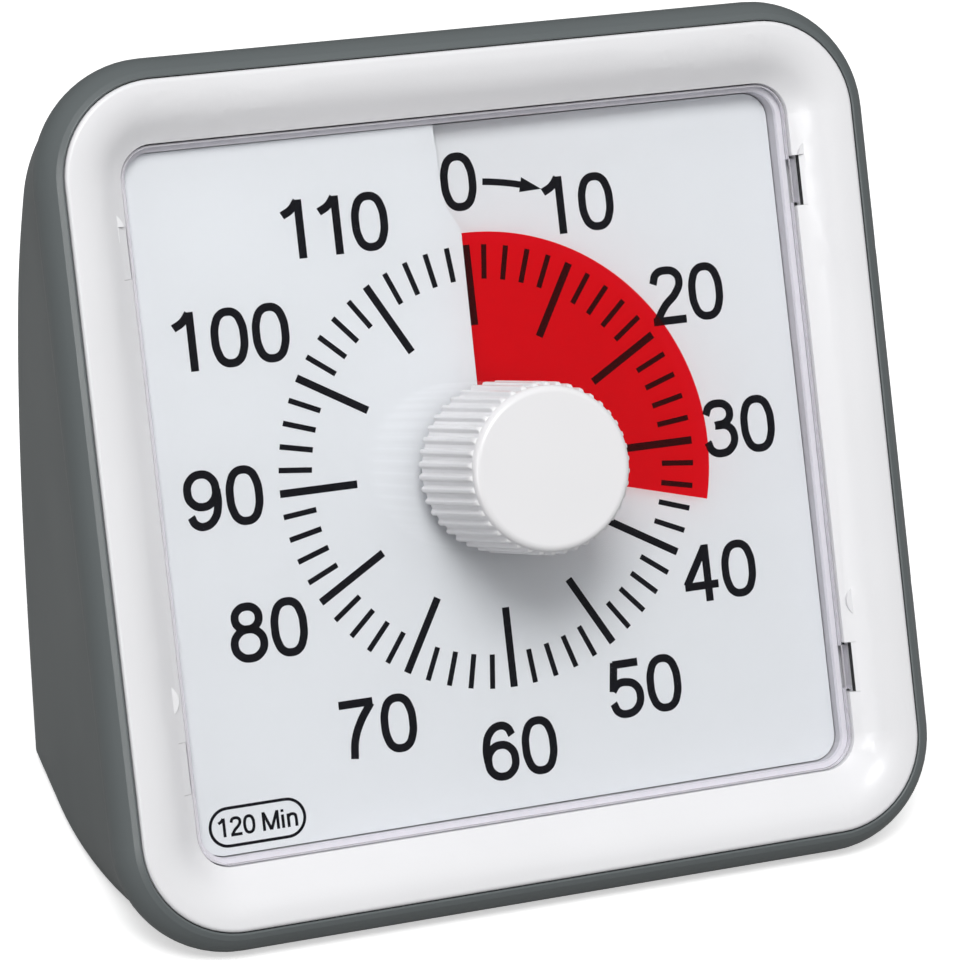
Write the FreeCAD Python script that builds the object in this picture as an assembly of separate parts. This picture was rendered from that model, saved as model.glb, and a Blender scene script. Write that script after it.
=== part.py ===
import FreeCAD, Part
import math
import os
from FreeCAD import Vector

# Visual countdown timer, millimetres.
# Face frame: x right, y up the dial, z out of the dial, dial axis on z, middle of the card at z = 0.
# Upright frame: X right, Y back, Z up. The face leans back by LEAN.

# ---- overall form
LEAN = 24.0            # the face leans back from upright
CORNER_C = 52.3        # centre of every concentric corner arc of the front
BAND_HALF = 71.5       # widest point of the grey band round the front
SEAM_HALF = 67.9       # joint between white bezel and grey case
OPEN_HALF = 57.9       # opening in the bezel
SEAM_GAP = 0.15        # bezel skirt to case
RIM_Z = 9.0            # highest line of the bezel
SKIRT_END = 0.1        # foot of the bezel's outer skirt
BAND_Z = 1.2           # back of the band, where the case sides start
SIDE_HALF = 70.7       # case side at z = 0
SIDE_DRAFT = 0.07      # case sides draw in towards the back, per mm
SIDE_RADIUS = 18.4     # corner radius of the case sides
WALL = 2.2             # case wall
BASE_DROP = 64.2       # base below the dial centre, measured upright
SHOULDER_Z = -2.5      # flat back of the band above the case's back
SHOULDER_IN = 0.25     # step of that ledge from the sides
SHOULDER_LAP = 8.0     # from the last but one station of the back up to the ledge
BACK_EDGE = 4.5        # rounding between the back and the sides
BASE_EDGE = 1.5        # rounding of the base
# upright stations of the back of the case, from the base to the shoulder: (Y, Z)
BACK_LINE = [(41.8, -68.0), (45.1, -38.0), (46.2, -10.0), (44.3, 12.0), (40.0, 31.0), (34.8, 43.5), (28.2, 57.5)]

# ---- dial card: a square sheet that climbs once round the dial and is slit from the middle to the top
LIP_RISE = 3.1
CARD_HALF = 56.5
CARD_RADIUS = 4.2
CARD_T = 0.3
CARD_HOLE = 11.5
# ---- red disc, a thin film of the same pitch
DISC_R = 38.5
DISC_T = 0.14
DISC_DROP = 0.3        # below the card where both start
DISC_SLIT = 0.5        # degrees
SHOWN = 111.0          # degrees of red shown at rest, 37 minutes at 3 degrees each
HUB_R = 6.0
HUB_FLANGE_R = 9.5
HUB_FLANGE_T = 0.9

# ---- window
WINDOW_HALF = 57.7
WINDOW_TOP = 4.2
WINDOW_T = 1.7
SKIRT_T = 1.0
SKIRT_FOOT = -3.2
WINDOW_HOLE = 3.1
TAB_Y = 41.1           # snap tabs above and below the middle
TAB_L = 7.3
TAB_OUT = 0.75
NOTCH_L = 8.4
NOTCH_DEEP = 1.6

# ---- knob
KNOB_FOOT = 4.9
KNOB_FACE = 29.2
KNOB_R_FOOT = 14.1
KNOB_R_TOP = 13.75
KNOB_FACE_R = 12.7
KNOB_ROUND = 1.1
FLUTES = 42
FLUTE_DEEP = 0.55
KNOB_WALL = 2.0
SHAFT_R = 2.5
RUN_FIT = 0.06         # running fit, radial
FREE_FIT = 0.3         # clearance between bodies that never touch

# ---- dial carrier and movement
CARRIER_HALF = 58.4
CARRIER_TOP = -3.4
CARRIER_T = 1.8
RIB_W = 1.2
RIB_FROM = 40.5
RIBS = 18
CLIP_W = 9.0
MOVE_HALF = 29.0
MOVE_FRONT = -5.2
MOVE_BACK = -22.0
MOVE_WALL = 1.5
WHEEL_MODULE = 0.75
WHEEL_TEETH = 48
PINION_TEETH = 16
WHEEL_Z = -12.0
WHEEL_W = 2.0
AXLE_R = 1.0
ROTOR_X = 13.0
ROTOR_Y = -6.8
ROTOR_R = 2.6

# ---- screws
SCREW_X = 61.5
SCREW_UP = 45.0
SCREW_DOWN = -30.0
TUNNEL_R = 4.2
WELL_R = 3.2
POST_R = 2.9
POST_FOOT = -8.2

# ---- back of the case: battery bay, door, sound holes, volume switch (upright, from the dial centre)
BAY_HALF = 29.0
BAY_LOW = -52.0
BAY_HIGH = -28.0
CELL_R = 7.1
CELL_L = 49.2
CELL_Y = 31.6
CELL_Z = -40.0
DOOR_GAP = 0.3
DOOR_T = 2.1
PIN_R = 0.6
GRILLE_Z = 6.0
GRILLE_HOLE = 0.8
BUZZER_R = 14.0
SWITCH_X = 44.0
SWITCH_Z = -8.0
SLOT_L = 12.0
SLOT_H = 4.0
FOOT_R = 5.0
FOOT_T = 1.7
FOOT_SUNK = 0.7
FOOT_X = 48.0
FOOT_FRONT = -17.0
FOOT_BACK = 31.0

TILT = math.radians(LEAN)
CLIMB = LIP_RISE / 360.0


def upright(shape):
    """Lean a shape of the face frame back into the upright frame."""
    out = shape.copy()
    out.rotate(Vector(0, 0, 0), Vector(1, 0, 0), 90.0 - LEAN)
    return out


def face_point(y_back, z_up, x=0.0):
    """Face-frame point of an upright one."""
    y = y_back * math.sin(TILT) + z_up * math.cos(TILT)
    z = -y_back * math.cos(TILT) + z_up * math.sin(TILT)
    return Vector(x, y, z)


def tilted(shape):
    """Bring a shape of the upright frame into the face frame."""
    out = shape.copy()
    out.rotate(Vector(0, 0, 0), Vector(1, 0, 0), LEAN - 90.0)
    return out


def fuse(shapes):
    first = shapes[0]
    if len(shapes) == 1:
        return first
    return first.multiFuse(shapes[1:]).removeSplitter()


def block(x0, x1, y0, y1, z0, z1):
    return Part.makeBox(x1 - x0, y1 - y0, z1 - z0, Vector(x0, y0, z0))


def drum(radius, z0, z1, x=0.0, y=0.0):
    return Part.makeCylinder(radius, z1 - z0, Vector(x, y, z0))


def rod_x(radius, x0, x1, y, z):
    return Part.makeCylinder(radius, x1 - x0, Vector(x0, y, z), Vector(1, 0, 0))


def rod_y(radius, y0, y1, x, z):
    return Part.makeCylinder(radius, y1 - y0, Vector(x, y0, z), Vector(0, 1, 0))


def polar(radius, degrees, z=0.0):
    """Point on the dial, degrees clockwise from the top."""
    a = math.radians(degrees)
    return Vector(radius * math.sin(a), radius * math.cos(a), z)


def square_wire(half, radius, z):
    """Rounded square round the dial axis."""
    c = half - radius
    k = radius * math.sqrt(0.5)
    edges = []
    for turn in range(4):
        run = Part.LineSegment(Vector(half, -c, z), Vector(half, c, z)).toShape()
        arc = Part.Arc(Vector(half, c, z), Vector(c + k, c + k, z), Vector(c, half, z)).toShape()
        for edge in (run, arc):
            edge.rotate(Vector(0, 0, 0), Vector(0, 0, 1), 90.0 * turn)
            edges.append(edge)
    return Part.Wire(edges)


def square_plate(half, radius, z0, z1):
    return Part.Face(square_wire(half, radius, z0)).extrude(Vector(0, 0, z1 - z0))


def around(edges):
    """Carry a closed x-z profile round the front: four runs and four corner turns."""
    profile = Part.Face(Part.Wire(edges))
    run = profile.copy()
    run.translate(Vector(0, -CORNER_C, 0))
    run = run.extrude(Vector(0, 2.0 * CORNER_C, 0))
    turn = profile.copy()
    turn.translate(Vector(0, CORNER_C, 0))
    turn = turn.revolve(Vector(CORNER_C, CORNER_C, 0), Vector(0, 0, 1), 90.0)
    pieces = []
    for quarter in range(4):
        for piece in (run, turn):
            copy = piece.copy()
            copy.rotate(Vector(0, 0, 0), Vector(0, 0, 1), 90.0 * quarter)
            pieces.append(copy)
    return fuse(pieces)


def chain(points):
    """Straight edges through x-z points."""
    out = []
    for a, b in zip(points[:-1], points[1:]):
        out.append(Part.LineSegment(Vector(a[0], 0, a[1]), Vector(b[0], 0, b[1])).toShape())
    return out


def bow(a, m, b):
    """Arc through three x-z points."""
    return Part.Arc(Vector(a[0], 0, a[1]), Vector(m[0], 0, m[1]), Vector(b[0], 0, b[1])).toShape()


def smooth(points):
    """Smooth curve through x-z points."""
    curve = Part.BSplineCurve()
    curve.interpolate([Vector(p[0], 0, p[1]) for p in points])
    return curve.toShape()


def spiral_sheet(r0, r1, start, stop, z_start, thick):
    """Sheet that climbs evenly with the angle, from start to stop degrees clockwise."""
    rails = []
    for radius in (r0, r1):
        count = max(6, int((stop - start) / 10.0))
        points = []
        for i in range(count + 1):
            angle = start + (stop - start) * i / count
            points.append(polar(radius, angle, z_start + CLIMB * (angle - start)))
        rail = Part.BSplineCurve()
        rail.interpolate(points)
        rails.append(rail.toShape())
    face = Part.makeRuledSurface(rails[0], rails[1])
    face.translate(Vector(0, 0, -0.5 * thick))
    return face.extrude(Vector(0, 0, thick))


def card_z(angle):
    """Height of the card's middle surface, degrees clockwise from the slit."""
    return CLIMB * angle - 0.5 * LIP_RISE


def case_body(inset, front):
    """Tapered case with its leaning back and flat base, drawn in by inset."""
    deep = -72.0
    wires = []
    for z in (front, deep):
        half = SIDE_HALF + SIDE_DRAFT * z - inset
        wires.append(square_wire(half, SIDE_RADIUS - inset, z))
    sides = Part.makeLoft(wires, True, True)
    back = [face_point(y - inset, z) for y, z in BACK_LINE]
    curve = Part.BSplineCurve()
    curve.interpolate(back)
    far = 90.0
    top = back[-1]
    low = back[0]
    run = curve.tangent(curve.LastParameter)[0]
    reach = top + run * ((front + 5.0 - top.z) / run.z)
    outline = [curve.toShape()]
    corners = [top, reach, Vector(0, -far, reach.z), Vector(0, -far, low.z), low]
    for a, b in zip(corners[:-1], corners[1:]):
        outline.append(Part.LineSegment(a, b).toShape())
    prism = Part.Face(Part.Wire(outline)).extrude(Vector(2.0 * far, 0, 0))
    prism.translate(Vector(-far, 0, 0))
    floor = tilted(block(-far, far, -far, far, -200.0, -(BASE_DROP - inset)))
    return sides.common(prism).cut(floor)


def shoulder(inset, front):
    """Flat ledge that closes the case behind its upper edge."""
    foot = SHOULDER_Z + inset
    half = SIDE_HALF + SIDE_DRAFT * foot - SHOULDER_IN - inset
    ledge = square_plate(half, SIDE_RADIUS - SHOULDER_IN - inset, foot, front)
    start = face_point(BACK_LINE[-2][0] - inset, BACK_LINE[-2][1]).y
    return ledge.common(block(-90.0, 90.0, start + SHOULDER_LAP, 90.0, -90.0, 90.0))


def gear(teeth, module, width, bore, phase):
    """Spur gear with involute flanks and a little backlash."""
    pitch = 0.5 * module * teeth
    base = pitch * math.cos(math.radians(20.0))
    tip = pitch + 0.92 * module
    root = pitch - 1.2 * module
    inv = math.tan(math.radians(20.0)) - math.radians(20.0)
    half = 0.5 * math.pi / teeth + inv - 0.07 * module / pitch
    points = []
    for tooth in range(teeth):
        mid = 2.0 * math.pi * tooth / teeth + math.radians(phase)
        flank = []
        for i in range(4):
            r = max(base, root) + (tip - max(base, root)) * i / 3.0
            roll = math.sqrt(max(0.0, (r / base) ** 2 - 1.0))
            flank.append((r, half - (roll - math.atan(roll))))
        points.append(Vector(root * math.cos(mid - half), root * math.sin(mid - half), 0))
        for r, a in flank:
            points.append(Vector(r * math.cos(mid - a), r * math.sin(mid - a), 0))
        for r, a in reversed(flank):
            points.append(Vector(r * math.cos(mid + a), r * math.sin(mid + a), 0))
        points.append(Vector(root * math.cos(mid + half), root * math.sin(mid + half), 0))
    points.append(points[0])
    body = Part.Face(Part.makePolygon(points)).extrude(Vector(0, 0, width))
    return body.cut(drum(bore, -1.0, width + 1.0))


NODES = {}

# ------- white bezel: dished frame, skirt outside, wall inside, posts, clips and notches
edge_r = 0.8
skin = chain([(SEAM_HALF, SKIRT_END), (SEAM_HALF, RIM_Z - edge_r)])
skin.append(bow((SEAM_HALF, RIM_Z - edge_r), (SEAM_HALF - 0.234, RIM_Z - 0.234), (SEAM_HALF - edge_r, RIM_Z)))
dish = [(SEAM_HALF - edge_r, RIM_Z), (64.6, 8.86), (61.8, 7.75), (59.4, 5.85), (OPEN_HALF, 4.75)]
skin.append(smooth(dish))
under = [(OPEN_HALF, 4.75), (OPEN_HALF, CARRIER_TOP), (OPEN_HALF + 1.5, CARRIER_TOP), (OPEN_HALF + 1.5, 3.7)]
under += [(62.0, 5.9), (64.6, 7.0), (66.3, 7.1), (66.3, SKIRT_END), (SEAM_HALF, SKIRT_END)]
skin += chain(under)
bezel = around(skin)
grow = [bezel]
cavity = []
for side in (-1, 1):
    for y in (SCREW_UP, SCREW_DOWN):
        grow.append(drum(POST_R, POST_FOOT, 6.0, side * SCREW_X, y))
        cavity.append(drum(1.2, POST_FOOT - 1, 3.5, side * SCREW_X, y))
for turn in (0, 2, 3):
    for shift in (-16.0, 16.0):
        wall = block(CARRIER_HALF + 0.1, OPEN_HALF + 1.5, shift - 0.5 * CLIP_W, shift + 0.5 * CLIP_W, -6.6, 0.0)
        lip = block(CARRIER_HALF - 0.9, OPEN_HALF + 1.5, shift - 0.5 * CLIP_W, shift + 0.5 * CLIP_W, -6.6, -5.2)
        for part in (wall, lip):
            part.rotate(Vector(0, 0, 0), Vector(0, 0, 1), 90.0 * turn)
            grow.append(part)
for side in (-1, 1):
    for y in (-TAB_Y, TAB_Y):
        notch = block(OPEN_HALF - 1.0, OPEN_HALF + NOTCH_DEEP, y - 0.5 * NOTCH_L, y + 0.5 * NOTCH_L, 0.6, 9.0)
        if side < 0:
            notch.rotate(Vector(0, 0, 0), Vector(0, 0, 1), 180.0)
        cavity.append(notch)
bezel = fuse(grow)
for tool in cavity:
    bezel = bezel.cut(tool)
NODES["front_bezel"] = bezel

# ------- clear window: plate, skirt, middle hole, four snap tabs
pane = square_plate(WINDOW_HALF, WINDOW_HALF - CORNER_C, WINDOW_TOP - WINDOW_T, WINDOW_TOP)
bevel = 0.35
skirt = chain([(WINDOW_HALF, WINDOW_TOP - WINDOW_T), (WINDOW_HALF, SKIRT_FOOT), (WINDOW_HALF - SKIRT_T, SKIRT_FOOT),
               (WINDOW_HALF - SKIRT_T, WINDOW_TOP - WINDOW_T), (WINDOW_HALF, WINDOW_TOP - WINDOW_T)])
window = [pane, around(skirt)]
for side in (0.0, 180.0):
    for y in (-TAB_Y, TAB_Y):
        tab = block(WINDOW_HALF - 0.2, WINDOW_HALF + TAB_OUT, y - 0.5 * TAB_L, y + 0.5 * TAB_L, 2.2, WINDOW_TOP)
        hook = block(WINDOW_HALF - 0.2, WINDOW_HALF + TAB_OUT + 0.5, y - 0.5 * TAB_L, y + 0.5 * TAB_L, 1.0, 2.3)
        for piece in (tab, hook):
            piece.rotate(Vector(0, 0, 0), Vector(0, 0, 1), side)
            window.append(piece)
window = fuse(window)
ring = chain([(WINDOW_HALF - bevel, WINDOW_TOP), (WINDOW_HALF + 0.01, WINDOW_TOP - bevel),
              (WINDOW_HALF + 0.01, WINDOW_TOP + 0.01), (WINDOW_HALF - bevel, WINDOW_TOP + 0.01),
              (WINDOW_HALF - bevel, WINDOW_TOP)])
window = window.cut(around(ring))
window = window.cut(drum(WINDOW_HOLE, 0.0, 9.0))
NODES["clear_window"] = window

# ------- dial card, slit along a line that passes left of the figure at the top
slit = [Vector(-1.2, 0.0, 0), Vector(-0.95, 37.6, 0)]
bend = [slit[1], Vector(-1.25, 39.6, 0), Vector(-2.5, 41.9, 0), Vector(-3.3, 44.2, 0), Vector(-3.55, 47.0, 0)]
upper = [bend[-1], Vector(-4.3, 70.0, 0)]
bend_curve = Part.BSplineCurve()
bend_curve.interpolate(bend)
path = [Part.LineSegment(slit[0], slit[1]).toShape(), bend_curve.toShape(), Part.LineSegment(upper[0], upper[1]).toShape()]


def beside_slit(reach, z0, z1):
    """Block that lies on one side of the slit, out to x = reach."""
    far = [Vector(-4.3, 70.0, 0), Vector(reach, 70.0, 0), Vector(reach, 0.0, 0), Vector(-1.2, 0.0, 0)]
    edges = list(path)
    for a, b in zip(far[:-1], far[1:]):
        edges.append(Part.LineSegment(a, b).toShape())
    face = Part.Face(Part.Wire(edges))
    face.translate(Vector(0, 0, z0))
    return face.extrude(Vector(0, 0, z1 - z0))


card = spiral_sheet(8.0, 82.0, -12.0, 372.0, card_z(-12.0), CARD_T)
card = card.common(square_plate(CARD_HALF, CARD_RADIUS, -5.0, 5.0))
card = card.cut(drum(CARD_HOLE, -5.0, 5.0))
card = card.cut(beside_slit(-20.0, -4.0, 0.0))
card = card.cut(beside_slit(20.0, 0.0, 4.0))
NODES["dial_card"] = card

# ------- red disc and its hub, turned to show SHOWN degrees
disc = spiral_sheet(HUB_R, DISC_R, DISC_SLIT, 360.0, card_z(DISC_SLIT) - DISC_DROP, DISC_T)
flange = spiral_sheet(HUB_R - 1.0, HUB_FLANGE_R, 0.0, 360.0,
                      card_z(0.0) - DISC_DROP - 0.5 * (DISC_T + HUB_FLANGE_T), HUB_FLANGE_T)
hub = fuse([drum(HUB_R, CARRIER_TOP + FREE_FIT, WINDOW_TOP - WINDOW_T - FREE_FIT), flange])
hub = hub.cut(drum(SHAFT_R, -9.0, 9.0))
for shape in (disc, hub):
    shape.rotate(Vector(0, 0, 0), Vector(0, 0, 1), -SHOWN)
NODES["red_disc"] = disc
NODES["disc_hub"] = hub

# ------- knob: fluted shell, boss and webs
def flute_wire(radius, deep, z):
    """Ring of arcs that bulge outwards and meet in grooves."""
    edges = []
    step = 2.0 * math.pi / FLUTES
    for i in range(FLUTES):
        ends = []
        for k, r in ((0.0, radius - deep), (0.5, radius), (1.0, radius - deep)):
            a = (i + k) * step
            ends.append(Vector(r * math.cos(a), r * math.sin(a), z))
        edges.append(Part.Arc(ends[0], ends[1], ends[2]).toShape())
    return Part.Wire(edges)


sections = [flute_wire(KNOB_R_FOOT, FLUTE_DEEP, KNOB_FOOT)]
for turn in (0.0, 35.0, 65.0, 90.0):
    over = 1.0 - math.cos(math.radians(turn))
    up = math.sin(math.radians(turn))
    sections.append(flute_wire(KNOB_R_TOP + (KNOB_FACE_R - KNOB_R_TOP) * over, FLUTE_DEEP * (1.0 - 0.95 * over),
                               KNOB_FACE - KNOB_ROUND * (1.0 - up)))
shell = Part.makeLoft(sections, True, True)
shell = shell.cut(drum(KNOB_R_FOOT - FLUTE_DEEP - KNOB_WALL, KNOB_FOOT - 1.0, KNOB_FACE - 2.4))
inside = [shell, drum(4.6, KNOB_FOOT + 0.5, KNOB_FACE - 2.0)]
for i in range(6):
    web = block(2.0, 12.2, -0.6, 0.6, KNOB_FOOT + 5.0, KNOB_FACE - 2.0)
    web.rotate(Vector(0, 0, 0), Vector(0, 0, 1), 60.0 * i)
    inside.append(web)
knob = fuse(inside).cut(drum(SHAFT_R, 0.0, KNOB_FACE - 4.0))
NODES["knob"] = knob

# ------- shaft
shaft = drum(SHAFT_R, MOVE_BACK + 0.6, KNOB_FACE - 4.0)
NODES["knob_shaft"] = shaft

# ------- dial carrier: plate with radial ribs at the card's height
carrier = [square_plate(CARRIER_HALF, CARRIER_HALF - CORNER_C, CARRIER_TOP - CARRIER_T, CARRIER_TOP)]
limit = square_plate(CARD_HALF - 0.8, CARD_RADIUS, -6.0, 6.0)
for i in range(RIBS):
    angle = (i + 0.5) * 360.0 / RIBS
    lean_in = math.degrees(0.5 * RIB_W / RIB_FROM)
    top = card_z(angle - lean_in) - 0.5 * CARD_T
    rib = block(-0.5 * RIB_W, 0.5 * RIB_W, RIB_FROM, 78.0, CARRIER_TOP - 0.5, top)
    rib.rotate(Vector(0, 0, 0), Vector(0, 0, 1), -angle)
    carrier.append(rib.common(limit))
carrier = fuse(carrier)
carrier = carrier.cut(drum(SHAFT_R + FREE_FIT, -9.0, 0.0))
for turn in (0, 2, 3):
    for shift in (-16.0, 16.0):
        gap = block(CARRIER_HALF - 0.3, 60.0, shift - 0.5 * CLIP_W - 0.2, shift + 0.5 * CLIP_W + 0.2, -6.0, -3.0)
        gap.rotate(Vector(0, 0, 0), Vector(0, 0, 1), 90.0 * turn)
        carrier = carrier.cut(gap)
NODES["dial_carrier"] = carrier

# ------- movement: cover plate in front, box behind
ear = []
for sx in (-1, 1):
    for sy in (-1, 1):
        ear.append(drum(3.2, MOVE_FRONT - 1.8, MOVE_FRONT, sx * (MOVE_HALF + 2.4), sy * 20.0))
        ear.append(block(sx * MOVE_HALF - 3.0, sx * MOVE_HALF + 3.0, sy * 20.0 - 3.2, sy * 20.0 + 3.2,
                         MOVE_FRONT - 1.8, MOVE_FRONT))
cover = fuse([square_plate(MOVE_HALF, 3.0, MOVE_FRONT - 1.8, MOVE_FRONT)] + ear)
cover = cover.cut(drum(SHAFT_R + RUN_FIT, -20.0, 0.0))
for sx in (-1, 1):
    for sy in (-1, 1):
        cover = cover.cut(drum(1.1, -20.0, 0.0, sx * (MOVE_HALF + 2.4), sy * 20.0))
box = square_plate(MOVE_HALF, 3.0, MOVE_BACK, MOVE_FRONT - 1.8)
box = box.cut(square_plate(MOVE_HALF - MOVE_WALL, 1.6, MOVE_BACK + MOVE_WALL, 0.0))
centre = 0.5 * WHEEL_MODULE * (WHEEL_TEETH + PINION_TEETH) * math.sqrt(0.5)
box = fuse([box, drum(4.2, MOVE_BACK, MOVE_BACK + 4.0), drum(2.6, MOVE_BACK, MOVE_BACK + 3.0, -centre, -centre)])
box = box.cut(drum(SHAFT_R + RUN_FIT, MOVE_BACK + 0.5, 0.0))
box = box.cut(drum(AXLE_R + RUN_FIT, MOVE_BACK + 0.8, 0.0, -centre, -centre))
box = box.cut(drum(0.6 + RUN_FIT, MOVE_BACK + 0.8, 0.0, ROTOR_X, ROTOR_Y))
cover = fuse([cover, drum(2.6, MOVE_FRONT - 3.2, MOVE_FRONT - 1.0, -centre, -centre)])
cover = cover.cut(drum(AXLE_R + RUN_FIT, -20.0, MOVE_FRONT - 1.0, -centre, -centre))
NODES["movement_cover"] = cover
NODES["movement_box"] = box

# ------- drive wheel on the shaft, second wheel beside it
drive = gear(WHEEL_TEETH, WHEEL_MODULE, WHEEL_W, SHAFT_R, 0.0)
drive.translate(Vector(0, 0, WHEEL_Z))
for i in range(4):
    hole = drum(3.6, -20.0, 0.0, 10.6 * math.cos(math.radians(90.0 * i + 45.0)),
                10.6 * math.sin(math.radians(90.0 * i + 45.0)))
    drive = drive.cut(hole)
drive = fuse([drive, drum(5.0, WHEEL_Z - 1.6, WHEEL_Z + WHEEL_W + 1.4).cut(drum(SHAFT_R, -30.0, 0.0))])
NODES["drive_wheel"] = drive
# mesh: tooth of the wheel at 225 degrees meets a gap of the pinion at 45 degrees
wheel_mesh = (225.0 / (360.0 / WHEEL_TEETH)) % 1.0
pinion_phase = 45.0 + (0.5 + wheel_mesh) * 360.0 / PINION_TEETH
second = [gear(PINION_TEETH, WHEEL_MODULE, WHEEL_W + 1.0, 0.2, pinion_phase)]
second[0].translate(Vector(0, 0, WHEEL_Z - 0.5))
crown = gear(30, 0.55, 1.4, 0.2, 0.0)
crown.translate(Vector(0, 0, WHEEL_Z - 3.6))
second.append(crown)
second.append(drum(AXLE_R, MOVE_BACK + 1.0, MOVE_FRONT - 1.4))
second.append(drum(3.0, WHEEL_Z - 3.6, WHEEL_Z))
second = fuse(second)
second.translate(Vector(-centre, -centre, 0))
NODES["second_wheel"] = second

# ------- motor of the movement: winding on its core, stator plate round the rotor
coil_y = -21.0
coil_z = -16.6
ends = [rod_x(3.7, 4.0, 4.8, coil_y, coil_z), rod_x(3.7, 21.2, 22.0, coil_y, coil_z)]
core = [rod_x(1.6, 2.0, 24.0, coil_y, coil_z)] + ends
core.append(block(1.0, 4.0, coil_y - 2.0, -3.5, coil_z - 0.8, coil_z + 0.8))
core.append(block(22.0, 25.0, coil_y - 2.0, -3.5, coil_z - 0.8, coil_z + 0.8))
core.append(block(1.0, 25.0, -10.0, -3.5, coil_z - 0.8, coil_z + 0.8))
stator = fuse(core).cut(drum(ROTOR_R + 0.4, -20.0, -10.0, ROTOR_X, ROTOR_Y)).cut(drum(5.0, -30.0, -10.0))
NODES["motor_core"] = stator
NODES["motor_coil"] = rod_x(3.4, 4.8, 21.2, coil_y, coil_z).cut(rod_x(1.6, 0.0, 30.0, coil_y, coil_z))
rotor = fuse([drum(ROTOR_R, coil_z - 1.6, coil_z + 1.6, ROTOR_X, ROTOR_Y),
              drum(0.6, MOVE_BACK + 1.0, coil_z + 3.4, ROTOR_X, ROTOR_Y),
              gear(8, 0.3, 1.6, 0.1, 0.0).translated(Vector(ROTOR_X, ROTOR_Y, coil_z + 1.6))])
NODES["rotor"] = rotor

# ------- circuit board in the top of the movement box
board = [block(-26.0, 26.0, 13.0, 26.5, -17.4, -16.2), drum(4.0, -16.2, -15.2, 4.0, 19.5), rod_x(1.5, 12.0, 19.0, 22.0, -14.9)]
for x in (-24.0, 24.0):
    board.append(drum(2.0, MOVE_BACK + MOVE_WALL, -17.4, x, 19.5))
NODES["circuit_board"] = fuse(board[:3])
posts = fuse(board[3:] + [NODES["movement_box"]])
NODES["movement_box"] = posts

# ------- grey case: drafted shell, band, screw wells, back openings
outer = case_body(0.0, BAND_Z + 0.8)
hollow = case_body(WALL, BAND_Z + 4.0).fuse(shoulder(WALL, BAND_Z + 4.0))
band = chain([(SEAM_HALF + SEAM_GAP, -2.2), (SEAM_HALF + SEAM_GAP, RIM_Z - 0.55)])
band.append(bow((SEAM_HALF + SEAM_GAP, RIM_Z - 0.55), (SEAM_HALF + 0.27, RIM_Z - 0.36), (SEAM_HALF + 0.5, RIM_Z - 0.35)))
band += chain([(SEAM_HALF + 0.5, RIM_Z - 0.35), (SEAM_HALF + 1.3, RIM_Z - 0.85)])
band.append(smooth([(SEAM_HALF + 1.3, RIM_Z - 0.85), (SEAM_HALF + 2.15, RIM_Z - 1.75), (SEAM_HALF + 3.05, RIM_Z - 3.2),
                    (BAND_HALF, 3.9), (BAND_HALF - 0.12, BAND_Z + 0.3)]))
band += chain([(BAND_HALF - 0.12, BAND_Z + 0.3), (SIDE_HALF - 0.4, BAND_Z - 0.35), (SIDE_HALF - 0.6, -2.2),
               (SEAM_HALF + SEAM_GAP, -2.2)])
band = around(band)
back_edges = []
base_edges = []
for edge in outer.Edges:
    up = upright(edge).BoundBox
    if up.YMin > 20.0 and edge.BoundBox.ZMin < BAND_Z and up.ZMax > -BASE_DROP + 1.0:
        back_edges.append(edge)
outer = outer.makeFillet(BACK_EDGE, back_edges)
for edge in outer.Edges:
    up = upright(edge).BoundBox
    if up.ZMax < -BASE_DROP + 0.2 and edge.BoundBox.ZMax < 0.0:
        base_edges.append(edge)
outer = outer.makeFillet(BASE_EDGE, base_edges)
outer = outer.fuse(shoulder(0.0, BAND_Z + 0.8)).removeSplitter()
shell = outer.cut(hollow)
tunnels = []
wells = []
for side in (-1, 1):
    for y in (SCREW_UP, SCREW_DOWN):
        tunnels.append(drum(TUNNEL_R, -90.0, POST_FOOT - 0.1, side * SCREW_X, y).common(outer))
        wells.append(drum(WELL_R, -90.0, POST_FOOT - 2.1, side * SCREW_X, y))
        wells.append(drum(1.5, -90.0, 0.0, side * SCREW_X, y))
case = fuse([shell, band] + tunnels)
for well in wells:
    case = case.cut(well)
NODES["case_shell"] = case

# ------- from here the upright frame, measured from the dial centre
for name in list(NODES):
    NODES[name] = upright(NODES[name])
outer_up = upright(outer)
inner_up = upright(hollow)
case = NODES["case_shell"]


def back_y(z):
    """Outer face of the back at a height."""
    line = Part.makeLine(Vector(0, 0, z), Vector(0, 80, z))
    return outer_up.common(line).BoundBox.YMax


# battery bay: opening, hinge lugs, tray with cradle ribs
hinge_z = BAY_LOW + DOOR_GAP + 0.5 * DOOR_T
hinge_y = back_y(hinge_z) - 0.5 * DOOR_T
lugs = []
for side in (-1, 1):
    x0, x1 = sorted((side * BAY_HALF, side * (BAY_HALF + 3.0)))
    lugs.append(block(x0, x1, hinge_y - 3.0, hinge_y + 0.5, hinge_z - 2.0, hinge_z + 3.0).common(inner_up))
case = fuse([case] + lugs)
case = case.cut(block(-BAY_HALF, BAY_HALF, 30.0, 60.0, BAY_LOW, BAY_HIGH))
case = case.cut(rod_x(PIN_R + RUN_FIT, -BAY_HALF - 1.6, BAY_HALF + 1.6, hinge_y, hinge_z))
tray = block(-BAY_HALF - 1.8, BAY_HALF + 1.8, 22.6, 60.0, BAY_LOW - 1.6, BAY_HIGH + 1.6).common(inner_up)
tray = tray.cut(block(-BAY_HALF, BAY_HALF, 24.2, 60.0, BAY_LOW, BAY_HIGH))
cradle = []
for x in (-16.0, 0.0, 16.0):
    rib = block(x - 0.8, x + 0.8, 24.0, CELL_Y - 1.5, BAY_LOW - 0.2, BAY_HIGH + 0.2)
    cradle.append(rib.cut(rod_x(CELL_R, -40.0, 40.0, CELL_Y, CELL_Z)))
tray = fuse([tray] + cradle)
for lug in lugs:
    tray = tray.cut(lug)
NODES["battery_tray"] = tray

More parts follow.
